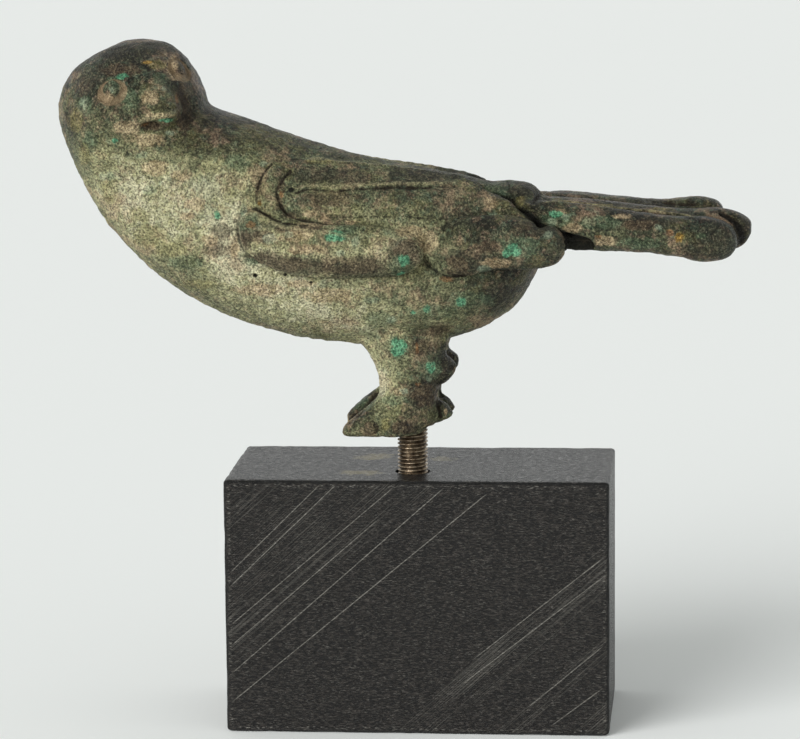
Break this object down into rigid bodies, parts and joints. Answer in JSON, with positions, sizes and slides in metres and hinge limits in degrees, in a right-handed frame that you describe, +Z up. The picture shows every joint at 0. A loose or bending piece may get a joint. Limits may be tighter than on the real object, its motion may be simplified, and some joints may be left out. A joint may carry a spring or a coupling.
{
  "type": "falcon statuette",
  "caption": "Small cast bronze falcon with a turned head and folded wings, carried clear of a black wooden block by a threaded rod; a display piece that stands on the block.",
  "frame": {"origin": "centre of the wooden block's underside, on the surface that the piece stands on", "axes": "+Z up; the falcon's breast points to -X and its tail to +X; its head is turned towards -Y, the side of the block's front face"},
  "size_m": [0.0892, 0.0301, 0.0899],
  "materials": {
    "patinated_bronze": "cast bronze with an olive and brown patina, pale earthy deposits and small turquoise patches",
    "rod_metal": "machine-cut thread, dulled copper brown with bright crests",
    "blackened_wood": "black stained wood, satin, with fine pale scratches and worn edges"
  },
  "bodies": {
    "root": {"falcon": "patinated_bronze", "threaded_rod": "rod_metal", "mount_block": "blackened_wood"}
  },
  "joints": []
}
